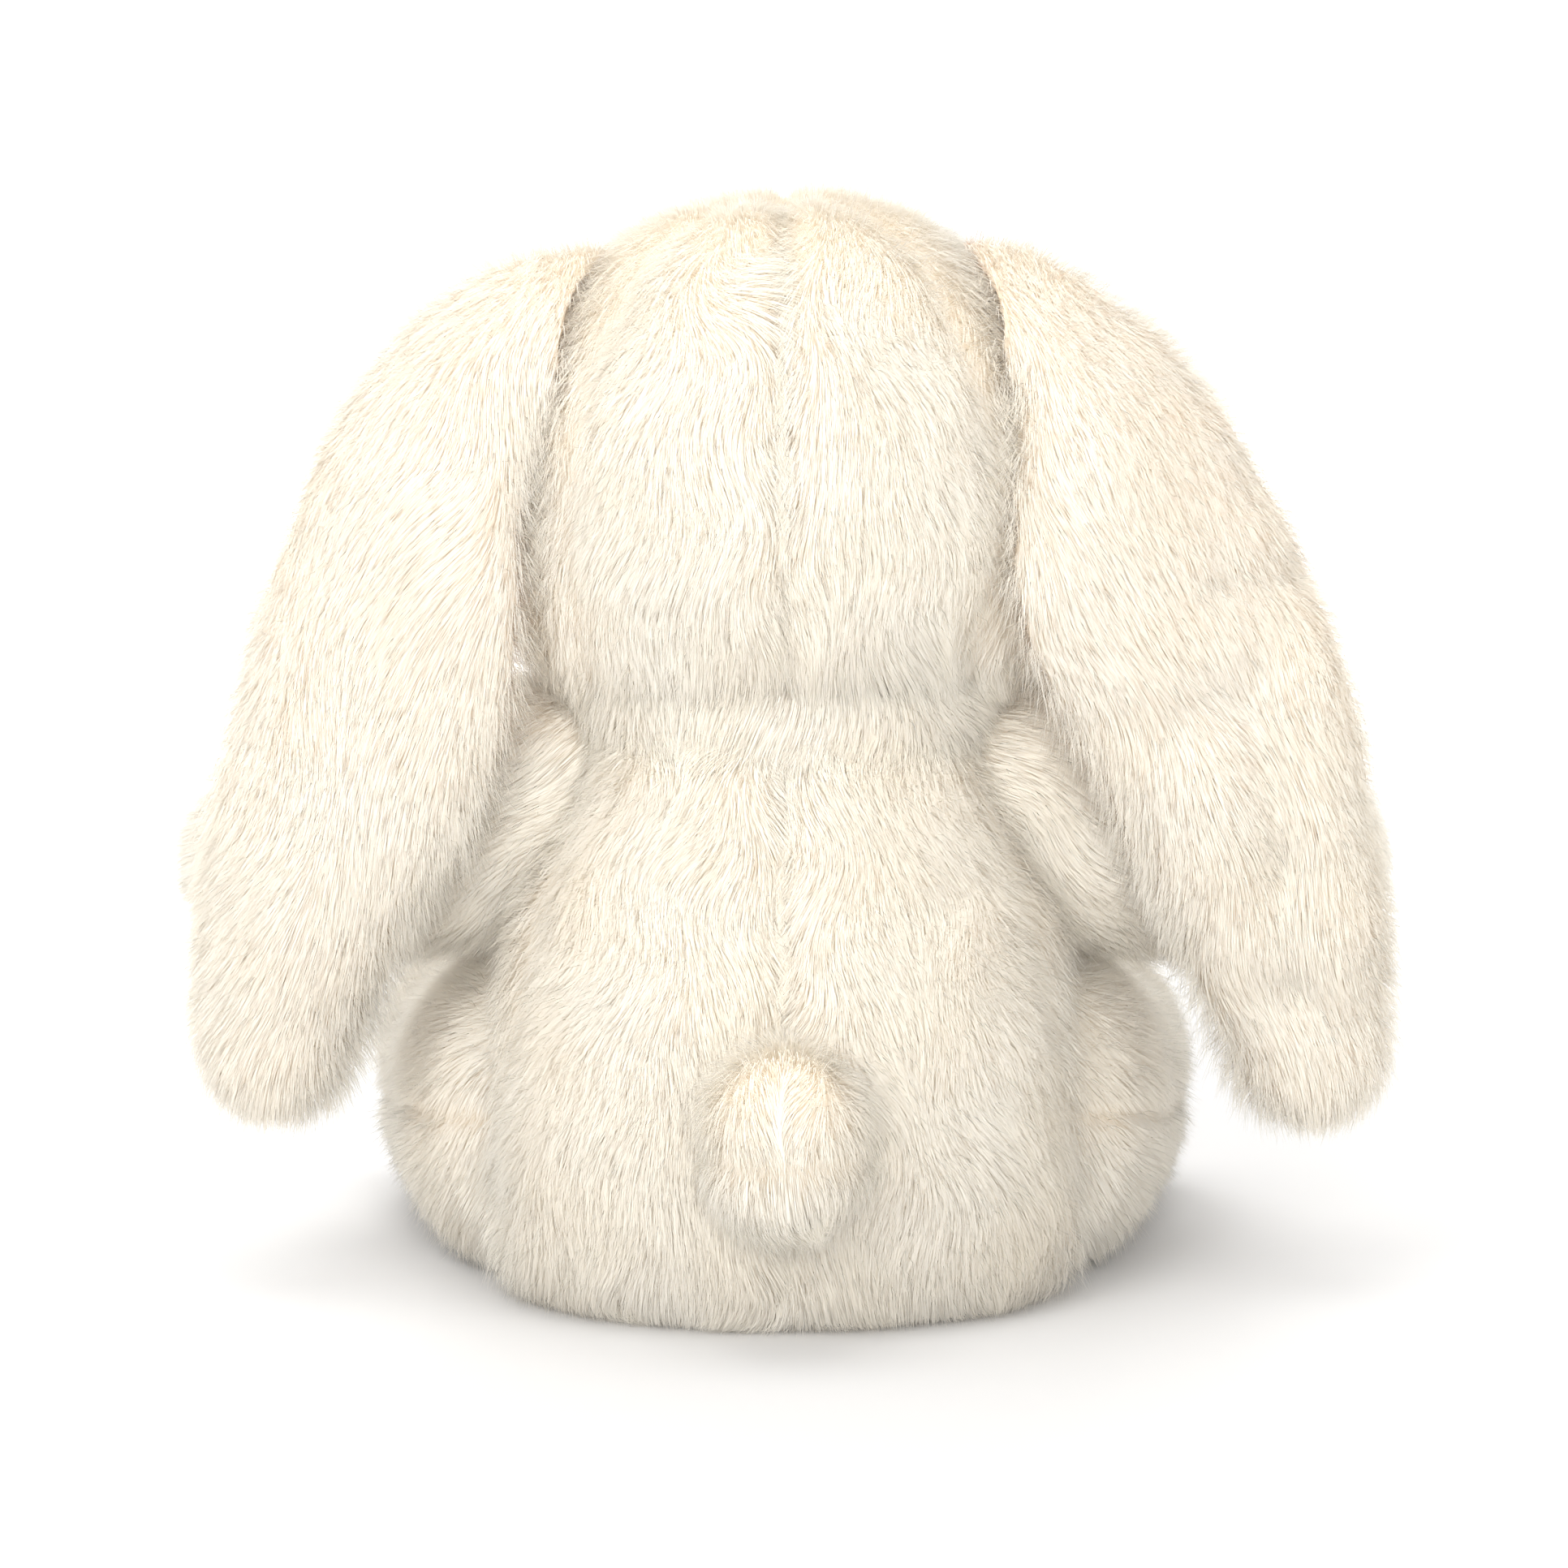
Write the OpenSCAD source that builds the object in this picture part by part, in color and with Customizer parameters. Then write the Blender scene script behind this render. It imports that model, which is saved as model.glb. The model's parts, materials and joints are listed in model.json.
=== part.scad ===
// Stuffed lop-eared bunny, sitting. Sewn pile-fabric panels over a polyester filling.
// The toy faces -Y and its own left is +X. The origin is the centre of the flat seat, on the floor.

/* [Fabric] */
// Thickness of the cloth with the pressed roots of its pile
fabric_t = 2.4; // [1.8:0.2:3]
// Space kept between the cloth and the filling
filling_gap = 1.2; // [1:0.1:1.6]

/* [Head] */
// Width of the head
head_w = 109; // [100:1:112]
// Depth of the head without the muzzle
head_d = 102; // [92:1:106]
// Height of the head
head_h = 102; // [96:1:106]
// How far the muzzle stands out from the face
muzzle_h = 9; // [4:1:12]
// Diameter of the safety eyes
eye_d = 11; // [9:0.5:12]

/* [Torso] */
// Width of the torso at its widest
torso_w = 127; // [122:1:129]
// Depth of the torso at its widest
torso_d = 103; // [98:1:106]
// Height of the torso, from the floor to the neck seam
torso_h = 120.5; // [120.5:0.5:122]

/* [Limbs] */
// Radius of the shoulder
shoulder_r = 16.5; // [14:0.5:17]
// Radius of the paw
paw_r = 14.5; // [13:0.5:17]
// Radius of the hip
hip_r = 25; // [22:0.5:26]

/* [Ears] */
// Thickness of the furry back of an ear, at its middle
ear_back_t = 4.6; // [3:0.2:5]
// Thickness of the ear's lining, at its middle
ear_lining_t = 2.6; // [2:0.2:3]

/* [Tail] */
// Width of the tail puff
tail_w = 29; // [24:1:34]
// Height of the tail puff
tail_h = 34; // [28:1:38]

/* [Hidden] */

left = 1;
right = -1;
cream = [0.95, 0.92, 0.85];
warm_cream = [0.96, 0.90, 0.80];
lining_peach = [0.96, 0.86, 0.78];
polyester = [0.98, 0.98, 0.97];

// Room left between a limb's round root and the dent it sits in
socket_gap = 1.8;
// Gap between the head's lowest point and the torso's highest
neck_gap = 1;
head_z0 = torso_h + neck_gap;
head_y0 = -4;
head_half = [head_w / 2, head_d / 2, head_h / 2];
head_mid = [0, head_y0, head_z0 + head_h / 2];
torso_half = [torso_w / 2, torso_d / 2, torso_h / 2];
torso_mid = [0, 0, torso_h / 2];

// Each row of a profile is height, half width, back and front depth, as shares of the body's own
head_profile = [
    [0, 0, 0, 0], [0.012, 0.50, 0.44, 0.39], [0.055, 0.80, 0.70, 0.66], [0.15, 0.93, 0.84, 0.91],
    [0.29, 0.99, 0.93, 1.03], [0.45, 1, 0.94, 1.06], [0.60, 0.955, 0.90, 0.99],
    [0.75, 0.825, 0.80, 0.85], [0.875, 0.64, 0.64, 0.64], [0.96, 0.40, 0.40, 0.40], [1, 0, 0, 0]
];
torso_profile = [
    [0, 0.70, 0.70, 0.66], [0.025, 0.90, 0.87, 0.82], [0.11, 1, 0.98, 0.92],
    [0.25, 1, 1.03, 0.97], [0.415, 0.955, 1, 0.97], [0.58, 0.885, 0.90, 0.90],
    [0.73, 0.805, 0.79, 0.79], [0.855, 0.70, 0.71, 0.67], [0.94, 0.615, 0.63, 0.56],
    [0.98, 0.42, 0.46, 0.38], [1, 0, 0, 0]
];
// Angle from the middle of the back to the side seams
head_seam = 48;
torso_seam = 62;

// Limb stations, for the left side: centre x, y, z, then half width and half height
arm_stations = [
    [45, -6, 103.5, shoulder_r, 1.05 * shoulder_r], [66, -8, 92, 17.5, 20.5],
    [88, -12, 88, 17.5, 19.5], [107.5, -15, 87.5, paw_r, paw_r]
];
leg_stations = [
    [52, -14, 34, hip_r, 1.335 * hip_r], [57, -42, 29, 23, 28.4], [61, -68, 25.8, 22, 25.2],
    [62, -90, 28.8, 23.5, 28]
];
// Turns of a leg about its hip that the belly leaves room for
leg_lifts = [0, 10, 20];
sole_depth = 9;
// Share of a limb's length at which the sole's seam runs
sole_seam = 0.9;

// Ear stations, for the left side: centre x, y, z, half width, roll and tilt of the width
ear_left_stations = [
    [39.3, 8, 203, 16.5, 116, 44], [50.5, 9, 196.3, 17.5, 80, 34], [62.7, 11, 185.6, 19.3, 45, 26],
    [70.3, 13.5, 171, 22.4, 36, 22], [75.5, 15, 154, 25.3, 26, 18], [80.6, 15, 134, 26.6, 14, 14],
    [85.5, 15, 115, 27, 6, 11], [91, 15, 97, 26, 0, 8], [97.5, 15, 79, 22, -4, 6],
    [101.5, 14, 63, 18, -6, 5], [103.5, 13, 50.5, 14.5, -4, 5], [104, 12.5, 43, 9.5, -2, 5],
    [104.2, 12.5, 40, 1.5, 0, 5]
];
ear_right_stations = [
    [39, 8, 204.3, 16.5, 112, 44], [49.5, 9, 196.5, 18.5, 76, 34], [59.5, 13.5, 184, 22.5, 48, 28],
    [67.5, 16, 167, 27.5, 32, 24], [75.3, 16, 148, 29.5, 23, 19], [84.3, 15, 129, 28.5, 15, 13],
    [91, 15, 111, 26, 10, 10], [96, 15, 92, 24.5, 6, 8], [101, 15, 74, 21.5, -2, 6],
    [105, 14, 58, 18, -5, 5], [108, 13, 46.5, 13.5, -4, 5], [109, 12.5, 41, 8.5, -2, 5],
    [109.3, 12.5, 38.5, 1.5, 0, 5]
];
ear_edge_t = 0.8;
ear_bow = 4;

tail_z = 43;
tail_depth = 22;
// Share of the torso profile at the tail's height
tail_v = 0.36;

// Curves through stations
function curve(p0, p1, p2, p3, t) =
    0.5 * (2 * p1 + (p2 - p0) * t + (2 * p0 - 5 * p1 + 4 * p2 - p3) * t * t
    + (3 * p1 - p0 - 3 * p2 + p3) * t * t * t);
function along(list, t) =
    let (n = len(list) - 1, s = min(max(t, 0), 1) * n, i = min(floor(s), n - 1))
    curve(list[max(i - 1, 0)], list[i], list[i + 1], list[min(i + 2, n)], s - i);
function unit(v) = v / norm(v);
function shrunk(p, mid, half, d) = [for (k = [0:2]) mid[k] + (p[k] - mid[k]) * (1 - d / half[k])];
function mirrored(p, side) = [side * p[0], p[1], p[2]];

// A point on a body turned from its profile; u is the angle from the back towards +X
function profiled(profile, half, y0, z0, u, v) =
    let (row = along(profile, v), deep = cos(u) > 0 ? row[2] : row[3])
    [half[0] * max(row[1], 0) * sin(u), y0 + half[1] * max(deep, 0) * cos(u), z0 + 2 * half[2] * row[0]];

// The round rooms that the torso leaves for its left limbs: centre, then half width, depth and height
function turned(p, pivot, lift) =
    let (y = p[1] - pivot[1], z = p[2] - pivot[2])
    [p[0], pivot[1] + y * cos(lift) + z * sin(lift), pivot[2] - y * sin(lift) + z * cos(lift)];
function room(s, lift, pivot) = concat(turned(s, pivot, lift), [s[3], s[3], s[4]]);
rooms = concat(
    [for (t = [0:0.11:0.33]) room(along(arm_stations, t), 0, arm_stations[0])],
    [for (lift = leg_lifts, t = [0:0.08:0.48]) room(along(leg_stations, t), lift, leg_stations[0])]
);

// Pushes a point sideways out of a room; the dent is round in the middle and
// opens out as a cone from cone_at of the room's size
cone_at = 0.88;
function room_limit(p, r, gap) =
    let (
        q = norm([(p[1] - r[1]) / (r[4] + gap), (p[2] - r[2]) / (r[5] + gap)]),
        rise = sqrt(1 - cone_at * cone_at),
        inward = q < cone_at ? -sqrt(1 - q * q) : -rise + (q - cone_at) * cone_at / rise
    )
    r[0] + (r[3] + gap) * inward;
function dented(p, gap) =
    [sign(p[0]) * min(concat([abs(p[0])], [for (r = rooms) room_limit(p, r, gap)])), p[1], p[2]];

function muzzle(p) =
    p[1] > head_y0 ? 0
    : muzzle_h * exp(-pow(p[0] / 19, 2) - pow((p[2] - head_z0 - 0.35 * head_h) / 14, 2));
function head_point(u, v, d) =
    let (p = profiled(head_profile, head_half, head_y0, head_z0, u, v))
    shrunk(p - [0, muzzle(p), 0], head_mid, head_half, d);
function torso_point(u, v, d) =
    dented(shrunk(profiled(torso_profile, torso_half, 0, 0, u, v), torso_mid, torso_half, d), socket_gap + d);

// A point on a limb: round at its root, and at its end as deep as end_depth says
function limb_point(stations, wide, end_depth, u, v, d) =
    let (
        root = 0.2,
        end = 0.8,
        t = (v - root) / (end - root),
        s = along(stations, t),
        e = 0.01,
        tc = min(max(t, e), 1 - e),
        ahead = along(stations, tc + e) - along(stations, tc - e),
        dir = unit([ahead[0], ahead[1], ahead[2]]),
        up = unit(cross(dir, wide)),
        across = cross(up, dir),
        turn = v < root ? 90 * v / root : (v > end ? 90 * (1 - v) / (1 - end) : 90),
        deep = v < root ? -(s[3] - d) : end_depth - d,
        mid = [s[0], s[1], s[2]] + dir * deep * cos(turn)
    )
    mid + sin(turn) * (across * (s[3] - d) * cos(u) + up * (s[4] - d) * sin(u));
function arm_point(u, v, d) = limb_point(arm_stations, [0, 1, 0], paw_r, u, v, d);
function leg_point(u, v, d) = limb_point(leg_stations, [1, 0, 0], sole_depth, u, v, d);

// A point on an ear: w runs across from -1 to 1, and lift is its height off the ear's own middle
function ear_point(stations, w, v, lift) =
    let (
        s = along(stations, v),
        e = 0.02,
        vc = min(max(v, e), 1 - e),
        ahead = along(stations, vc + e) - along(stations, vc - e),
        width = [cos(s[4]) * cos(s[5]), -sin(s[5]), sin(s[4]) * cos(s[5])],
        normal = unit(cross([ahead[0], ahead[1], ahead[2]], width)),
        out = normal[1] < 0 ? -normal : normal
    )
    [s[0], s[1], s[2]] + width * s[3] * w + out * (lift + ear_bow * (1 - w * w));
function ear_thickness(t, w, v) =
    ear_edge_t + (t - ear_edge_t) * sqrt(max(1 - w * w, 0)) * min(1, 6 * (1 - v), 0.2 + 10 * v);

function tail_point(u, v, d) =
    let (y = profiled(torso_profile, torso_half, 0, 0, 0, tail_v)[1] + 1.2 + tail_depth / 2)
    [
        (tail_w / 2 - d) * sin(180 * v) * cos(u),
        y - (tail_depth / 2 - d) * cos(180 * v),
        tail_z + (tail_h / 2 - d) * sin(180 * v) * sin(u)
    ];

function dropped(faces) = [
    for (f = faces) if (f[0] != f[1] && f[1] != f[2] && f[0] != f[2]) f
];

// A sheet of the cloth: f(u, v, depth) gives its outer face at depth 0 and its inner face at fabric depth
module cloth(f, us, vs, nu, nv, poles = [false, false], depth = [0, fabric_t]) {
    wrap = us[1] - us[0] == 360;
    cols = wrap ? nu : nu + 1;
    rows = nv + 1;
    points = [
        for (d = depth, i = [0:cols - 1], j = [0:nv])
            f(us[0] + (us[1] - us[0]) * i / nu, vs[0] + (vs[1] - vs[0]) * j / nv, d)
    ];
    at = function(k, i, j)
        k * cols * rows + ((poles[0] && j == 0) || (poles[1] && j == nv) ? 0 : (i % cols) * rows) + j;
    half_u = floor(cols / 2);
    half_v = floor(rows / 2);
    here = points[at(0, half_u, half_v)];
    outward = here - points[at(1, half_u, half_v)];
    across = points[at(0, half_u + 1, half_v)] - here;
    onward = points[at(0, half_u, half_v + 1)] - here;
    flip = cross(across, onward) * outward > 0;
    quad = function(a, b, c, d) [[a, b, c], [a, c, d]];
    faces = [
        for (i = [0:nu - 1], j = [0:nv - 1])
            each quad(at(0, i, j), at(0, i + 1, j), at(0, i + 1, j + 1), at(0, i, j + 1)),
        for (i = [0:nu - 1], j = [0:nv - 1])
            each quad(at(1, i, j), at(1, i, j + 1), at(1, i + 1, j + 1), at(1, i + 1, j)),
        for (i = [0:nu - 1])
            if (!poles[0]) each quad(at(0, i, 0), at(1, i, 0), at(1, i + 1, 0), at(0, i + 1, 0)),
        for (i = [0:nu - 1])
            if (!poles[1]) each quad(at(0, i + 1, nv), at(1, i + 1, nv), at(1, i, nv), at(0, i, nv)),
        for (j = [0:nv - 1])
            if (!wrap) each quad(at(0, 0, j + 1), at(1, 0, j + 1), at(1, 0, j), at(0, 0, j)),
        for (j = [0:nv - 1])
            if (!wrap) each quad(at(0, nu, j), at(1, nu, j), at(1, nu, j + 1), at(0, nu, j + 1))
    ];
    polyhedron(points, dropped([for (t = faces) flip ? [t[0], t[2], t[1]] : t]));
}

// A closed body of filling, with rings between vs and a point at each end
module stuffing(f, depth, vs, nu, nv, ends) {
    rings = [for (j = [0:nv], i = [0:nu - 1]) f(360 * i / nu, vs[0] + (vs[1] - vs[0]) * j / nv, depth)];
    low = len(rings);
    points = concat(rings, ends);
    middle = floor(nv / 2) * nu;
    centre = (ends[0] + ends[1]) / 2;
    flip = cross(points[middle + 1] - points[middle], points[middle + nu] - points[middle])
        * (points[middle] - centre) > 0;
    faces = [
        for (j = [0:nv - 1], i = [0:nu - 1]) let (k = (i + 1) % nu)
            each [
                [j * nu + i, j * nu + k, (j + 1) * nu + k],
                [j * nu + i, (j + 1) * nu + k, (j + 1) * nu + i]
            ],
        for (i = [0:nu - 1]) [low, (i + 1) % nu, i],
        for (i = [0:nu - 1]) [low + 1, nv * nu + i, nv * nu + (i + 1) % nu]
    ];
    polyhedron(points, [for (t = faces) flip ? [t[0], t[2], t[1]] : t]);
}

// A thread laid along points
module thread(points, r, sides = 8) {
    n = len(points);
    rings = [
        for (i = [0:n - 1])
            let (
                dir = unit(points[min(i + 1, n - 1)] - points[max(i - 1, 0)]),
                a = unit(cross(dir, [0.1, 1, 0.2])),
                b = cross(dir, a)
            )
            for (k = [0:sides - 1]) points[i] + r * (a * cos(360 * k / sides) + b * sin(360 * k / sides))
    ];
    faces = [
        for (i = [0:n - 2], k = [0:sides - 1]) let (m = (k + 1) % sides)
            each [
                [i * sides + k, i * sides + m, (i + 1) * sides + m],
                [i * sides + k, (i + 1) * sides + m, (i + 1) * sides + k]
            ],
        for (k = [1:sides - 2]) [0, k + 1, k],
        for (k = [1:sides - 2]) [(n - 1) * sides, (n - 1) * sides + k, (n - 1) * sides + k + 1]
    ];
    polyhedron(rings, [for (t = faces) [t[0], t[2], t[1]]]);
}

// Stands its children on the head's surface, with +Z pointing out of it
module on_head(u, v) {
    e = 1;
    p = head_point(u, v, 0);
    n = unit(cross(head_point(u, v + 0.01, 0) - p, head_point(u + e, v, 0) - p));
    out = n * (p - head_mid) < 0 ? -n : n;
    translate(p) rotate([0, acos(out[2]), atan2(out[1], out[0])]) children();
}

// Head
module head_back(side)
    color(cream)
        cloth(function(u, v, d) mirrored(head_point(u, v, d), side),
            [0, head_seam], [0, 1], 6, 20, [true, true]);
module face(side)
    color(cream)
        cloth(function(u, v, d) mirrored(head_point(u, v, d), side),
            [head_seam, 180], [0, 1], 13, 20, [true, true]);

// The filling stops short of the parts that the face carries inside
module head_filling() {
    depth = fabric_t + filling_gap;
    clear = function(u, v, d)
        let (p = head_point(u, v, d))
        [p[0], p[1] < head_y0 ? max(p[1], head_y0 - 0.7 * head_half[1]) : p[1], p[2]];
    color(polyester)
        stuffing(clear, depth, [0.04, 0.96], 24, 14, [head_point(0, 0, depth), head_point(0, 1, depth)]);
}

eye_u = 27;
eye_v = 0.56;
eye_stem_r = 2;
eye_stem_l = 11;
washer_r = 5.5;
washer_t = 1.6;
module eye(side)
    color([0.12, 0.08, 0.06])
        on_head(180 - side * eye_u, eye_v)
            rotate_extrude($fn = 48)
                polygon(concat(
                    [[0, -eye_stem_l], [eye_stem_r, -eye_stem_l], [eye_stem_r, 0.2], [eye_d / 2, 0.2]],
                    [for (a = [0:15:90]) [eye_d / 2 * cos(a), 0.9 + 0.38 * eye_d * sin(a)]]
                ));
module eye_washer(side)
    color([0.92, 0.92, 0.9])
        on_head(180 - side * eye_u, eye_v)
            translate([0, 0, -eye_stem_l + 1.5])
                rotate_extrude($fn = 48)
                    translate([eye_stem_r + 0.05, 0]) square([washer_r - eye_stem_r, washer_t]);

nose_v = 0.42;
module nose()
    color([0.87, 0.6, 0.56])
        on_head(180, nose_v)
            translate([0, 0, 0.3])
                hull() {
                    for (s = [left, right]) translate([-2.5, s * 4.5, 0]) sphere(r = 2.2, $fn = 24);
                    translate([3, 0, 0]) sphere(r = 2.2, $fn = 24);
                }

mouth_r = 0.7;
module mouth_stitches() {
    lift = -mouth_r - 0.5;
    color([0.72, 0.5, 0.45]) {
        thread([for (i = [0:4]) head_point(180, 0.378 - 0.012 * i, lift)], mouth_r);
        for (s = [left, right])
            thread([
                for (i = [0:8]) head_point(180 - s * (1.1 + 1.15 * i), 0.326 - 0.03 * sin(150 * i / 8), lift)
            ], mouth_r);
    }
}

// Ears
module ear_layer(stations, side, t, way)
    cloth(function(w, v, d)
            mirrored(ear_point(stations, w, v, way * (0.1 + d * ear_thickness(t, w, v))), side),
        [-1, 1], [0, 1], 8, 24, depth = [1, 0]);
module ear_fur_side(stations, side) color(cream) ear_layer(stations, side, ear_back_t, 1);
module ear_lining(stations, side) color(lining_peach) ear_layer(stations, side, ear_lining_t, -1);

// Torso
module torso_back(side)
    color(cream)
        cloth(function(u, v, d) mirrored(torso_point(u, v, d), side),
            [0, torso_seam], [0, 1], 8, 26, [false, true]);
module belly()
    color(warm_cream)
        cloth(function(u, v, d) torso_point(u, v, d),
            [torso_seam, 360 - torso_seam], [0, 1], 34, 26, [false, true]);
module seat_panel() {
    hem = 0.975;
    color(cream)
        linear_extrude(fabric_t)
            polygon([
                for (a = [0:5:355]) let (p = torso_point(a, 0, fabric_t)) [p[0] * hem, p[1] * hem]
            ]);
}
module closing_stitches()
    color([0.9, 0.86, 0.78])
        for (i = [0:5]) {
            p = torso_point(0, 0.915 - 0.018 * i, 0);
            translate(p + [0, 1.1, 0.4])
                rotate([0, 90, i % 2 == 0 ? 8 : -8])
                    cylinder(r = 0.4, h = 5, center = true, $fn = 16);
        }

pouch_r = 21.5;
pouch_h = 17;
pouch_t = 0.8;
pouch_z = fabric_t + 0.6 + pouch_h / 2;
function pouch_edge(d) =
    [for (a = [-90:15:90]) [(pouch_r - d) * pow(cos(a), 0.7), (pouch_h / 2 - d) * sin(a)]];
module bean_pouch() {
    inner = pouch_edge(pouch_t);
    color([0.93, 0.93, 0.9])
        translate([0, 0, pouch_z])
            rotate_extrude($fn = 48)
                polygon(concat(pouch_edge(0), [for (i = [len(inner) - 1:-1:0]) inner[i]]));
}
pellet_r = 2.6;
module pellets()
    color([0.85, 0.85, 0.82])
        for (layer = [0, 1], ring = [0:2], k = [0:max(6 * ring - 1, 0)])
            rotate([0, 0, ring == 0 ? 0 : 60 * k / ring + 30 * layer])
                translate([ring * 5.6, 0, pouch_z - 4 + layer * 5.6]) sphere(r = pellet_r, $fn = 24);
torso_fill_v = 0.31;
module torso_filling() {
    depth = fabric_t + filling_gap;
    base = torso_point(0, torso_fill_v, depth);
    color(polyester)
        stuffing(function(u, v, d) torso_point(u, v, d), depth, [torso_fill_v, 0.97], 36, 14,
            [[0, 0, base[2]], torso_point(0, 1, depth)]);
}

// Limbs
module arm_half(side, us)
    color(cream)
        cloth(function(u, v, d) mirrored(arm_point(u, v, d), side), us, [0, 1], 8, 15, [true, true]);
module arm_filling(side) {
    depth = fabric_t + filling_gap;
    color(polyester)
        stuffing(function(u, v, d) mirrored(arm_point(u, v, d), side), depth, [0.05, 0.95], 14, 12,
            [mirrored(arm_point(0, 0, depth), side), mirrored(arm_point(0, 1, depth), side)]);
}
module leg_half(side, us)
    color(cream)
        cloth(function(u, v, d) mirrored(leg_point(u, v, d), side), us, [0, sole_seam], 9, 15, [true, false]);
module leg_sole(side)
    color(lining_peach)
        cloth(function(u, v, d) mirrored(leg_point(u, v, d), side),
            [0, 360], [sole_seam, 1], 18, 4, [false, true]);
module leg_filling(side) {
    depth = fabric_t + filling_gap;
    color(polyester)
        stuffing(function(u, v, d) mirrored(leg_point(u, v, d), side), depth, [0.05, 0.95], 16, 12,
            [mirrored(leg_point(0, 0, depth), side), mirrored(leg_point(0, 1, depth), side)]);
}

// Tail
module tail_half(us)
    color(cream)
        cloth(function(u, v, d) tail_point(u, v, d), us, [0, 1], 9, 10, [true, true]);
module tail_filling()
    color(polyester)
        stuffing(function(u, v, d) tail_point(u, v, d), fabric_t + filling_gap, [0.08, 0.92], 16, 7,
            [tail_point(0, 0, fabric_t + filling_gap), tail_point(0, 1, fabric_t + filling_gap)]);

head_back(left);  // head_back_left
head_back(right);  // head_back_right
face(left);  // face_left
face(right);  // face_right
head_filling();
eye(left);  // eye_left
eye(right);  // eye_right
eye_washer(left);  // eye_washer_left
eye_washer(right);  // eye_washer_right
nose();
mouth_stitches();
ear_fur_side(ear_left_stations, left);  // ear_left_back
ear_lining(ear_left_stations, left);  // ear_left_lining
ear_fur_side(ear_right_stations, right);  // ear_right_back
ear_lining(ear_right_stations, right);  // ear_right_lining
torso_back(left);  // torso_back_left
torso_back(right);  // torso_back_right
belly();
seat_panel();
closing_stitches();
torso_filling();
bean_pouch();
pellets();
arm_half(left, [-90, 90]);  // arm_left_back
arm_half(left, [90, 270]);  // arm_left_front
arm_filling(left);  // arm_left_filling
arm_half(right, [-90, 90]);  // arm_right_back
arm_half(right, [90, 270]);  // arm_right_front
arm_filling(right);  // arm_right_filling
leg_half(left, [0, 180]);  // leg_left_top
leg_half(left, [180, 360]);  // leg_left_under
leg_sole(left);  // leg_left_sole
leg_filling(left);  // leg_left_filling
leg_half(right, [0, 180]);  // leg_right_top
leg_half(right, [180, 360]);  // leg_right_under
leg_sole(right);  // leg_right_sole
leg_filling(right);  // leg_right_filling
tail_half([0, 180]);  // tail_upper
tail_half([180, 360]);  // tail_lower
tail_filling();
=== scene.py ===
"""Looks of the stuffed lop-eared bunny: sewn panels with long pile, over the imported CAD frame."""
import json
import math
from itertools import product

import bpy
import numpy as np
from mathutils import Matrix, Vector
from mathutils.bvhtree import BVHTree
from mathutils.kdtree import KDTree


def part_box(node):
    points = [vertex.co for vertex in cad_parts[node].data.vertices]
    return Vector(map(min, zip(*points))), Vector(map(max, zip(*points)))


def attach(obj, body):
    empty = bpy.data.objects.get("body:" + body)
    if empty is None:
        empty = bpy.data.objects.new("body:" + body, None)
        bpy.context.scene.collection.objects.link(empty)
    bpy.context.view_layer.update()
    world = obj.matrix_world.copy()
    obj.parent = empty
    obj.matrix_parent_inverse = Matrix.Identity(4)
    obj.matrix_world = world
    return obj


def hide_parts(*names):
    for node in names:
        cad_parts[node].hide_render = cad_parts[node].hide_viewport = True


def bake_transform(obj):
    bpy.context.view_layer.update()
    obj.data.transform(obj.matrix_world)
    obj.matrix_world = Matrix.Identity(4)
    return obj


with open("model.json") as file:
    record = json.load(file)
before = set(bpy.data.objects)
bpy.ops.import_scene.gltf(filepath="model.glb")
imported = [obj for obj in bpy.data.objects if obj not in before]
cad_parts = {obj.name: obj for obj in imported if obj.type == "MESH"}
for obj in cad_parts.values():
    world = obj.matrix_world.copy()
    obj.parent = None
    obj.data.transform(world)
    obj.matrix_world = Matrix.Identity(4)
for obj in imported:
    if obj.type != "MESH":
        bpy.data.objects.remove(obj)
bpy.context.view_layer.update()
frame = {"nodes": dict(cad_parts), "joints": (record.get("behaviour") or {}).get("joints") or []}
MM = 0.001
LEFT, RIGHT = 1, -1
DENSITY = 6.5 / MM ** 2
MOST_TRIANGLES = 190_000
TRIANGLES_PER_STRAND = 3
SIDES = {"left": LEFT, "right": RIGHT}


# ---------------------------------------------------------------- small tools
def unit(v):
    return v / np.maximum(np.linalg.norm(v, axis=-1, keepdims=True), 1e-12)


def along_surface(v, normals):
    """v with its part along the normals taken out."""
    return v - normals * np.sum(v * normals, axis=-1, keepdims=True)


def ripples(points, size, seed, waves=7):
    """Smooth noise from -1 to 1 or so, with lumps of about that size."""
    rng = np.random.default_rng(seed)
    total = np.zeros(len(points))
    for _ in range(waves):
        direction = unit(rng.normal(size=3)) * 2 * math.pi / (size * rng.uniform(0.8, 1.9))
        total += np.sin(points @ direction + rng.uniform(0, 2 * math.pi))
    return total / math.sqrt(waves)


def swirl(points, size, seed):
    """A smooth vector noise."""
    return np.stack([ripples(points, size, seed + k) for k in range(3)], axis=1)


def cell_jitter(cells, seed):
    """Three numbers from 0 to 1 for each whole-number cell."""
    key = (cells * np.array([73856093, 19349663, 83492791])).sum(1) + seed * 7919
    key = key.astype(np.uint64)
    out = []
    for _ in range(3):
        key = (key ^ (key >> np.uint64(15))) * np.uint64(0x9E3779B97F4A7C15)
        key ^= key >> np.uint64(29)
        out.append((key & np.uint64(0xFFFFF)).astype(float) / 0xFFFFF)
    return np.stack(out, axis=1)


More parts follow.
